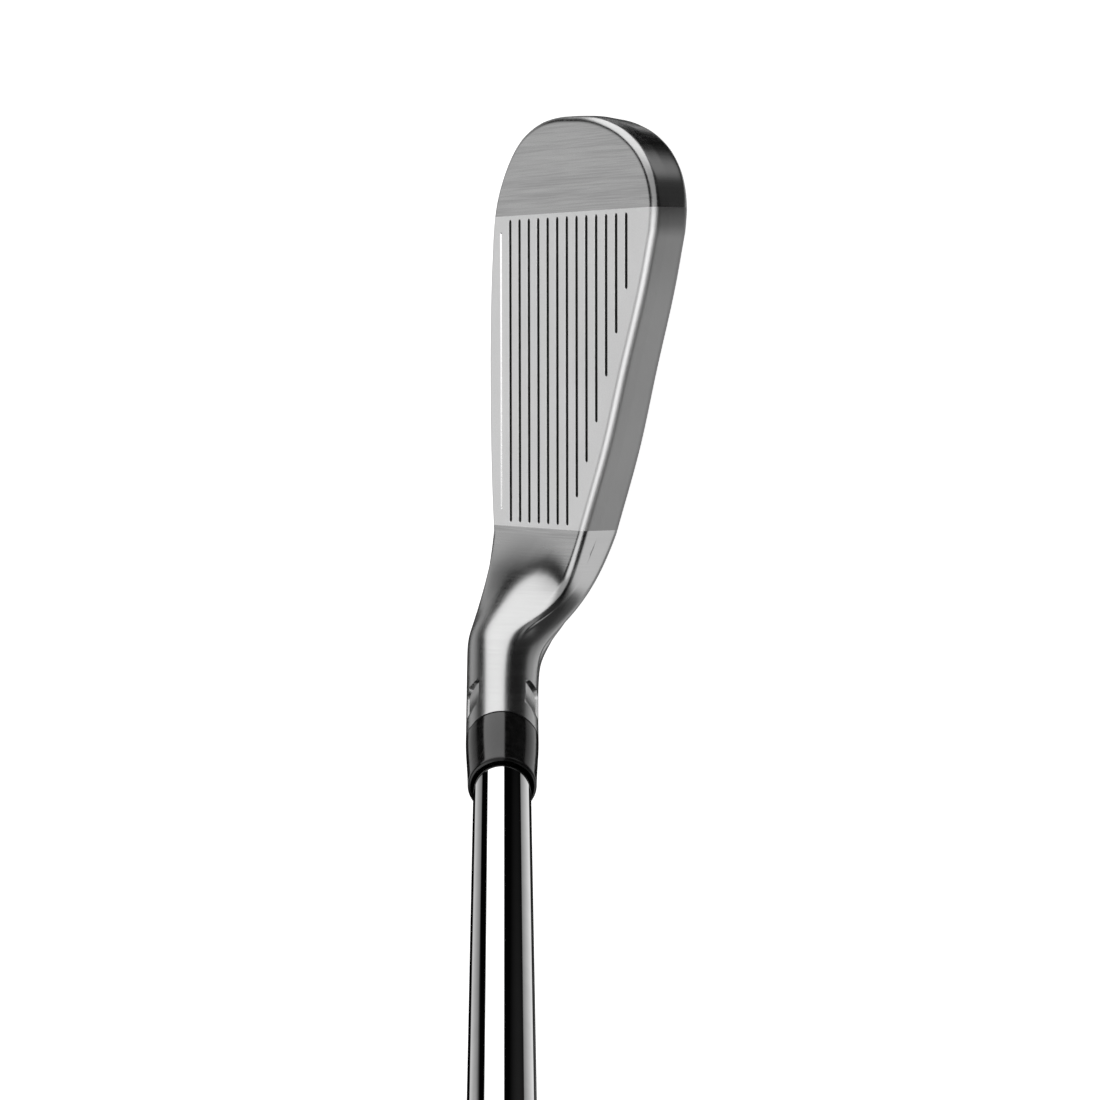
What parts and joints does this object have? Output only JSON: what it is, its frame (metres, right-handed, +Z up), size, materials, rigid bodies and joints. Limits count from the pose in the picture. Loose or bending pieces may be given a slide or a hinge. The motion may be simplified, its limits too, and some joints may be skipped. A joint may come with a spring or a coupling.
{
  "type": "iron golf club",
  "caption": "Right-handed mid iron golf club with a cast cap-back head, scored face, bent neck, ferrule, tapered chrome shaft and rubber grip.",
  "frame": {"origin": "centre of the bounding box's base, on the ground under the middle of the club, which stands at address", "axes": "+X from heel to toe, +Y towards the target, +Z up; the shaft rises towards -X at the lie angle"},
  "size_m": [0.5278, 0.046, 0.8417],
  "materials": {
    "satin_steel": "satin, fine brush lines up the face",
    "blasted_steel": "blasted between the score lines' ends, brushed at toe and heel, black-filled score lines",
    "cap_metal": "satin",
    "badge": "gloss, plain",
    "damper_rubber": "matt",
    "slot_polymer": "matt",
    "weight_metal": "sintered",
    "brass": "machined",
    "ferrule_gloss": "polished",
    "shaft_chrome": "mirror",
    "tape": "matt",
    "grip_rubber": "matt, textured"
  },
  "bodies": {
    "root": {"head_body": "satin_steel", "face_plate": "blasted_steel", "rear_cap": "cap_metal", "cap_badge": "badge", "damping_bar": "damper_rubber", "sole_slot_insert": "slot_polymer", "toe_weight": "weight_metal", "tip_weight": "brass", "ferrule": "ferrule_gloss", "shaft": "shaft_chrome", "grip_tape": "tape", "grip": "grip_rubber", "grip_end_cap": "grip_rubber"}
  },
  "joints": []
}
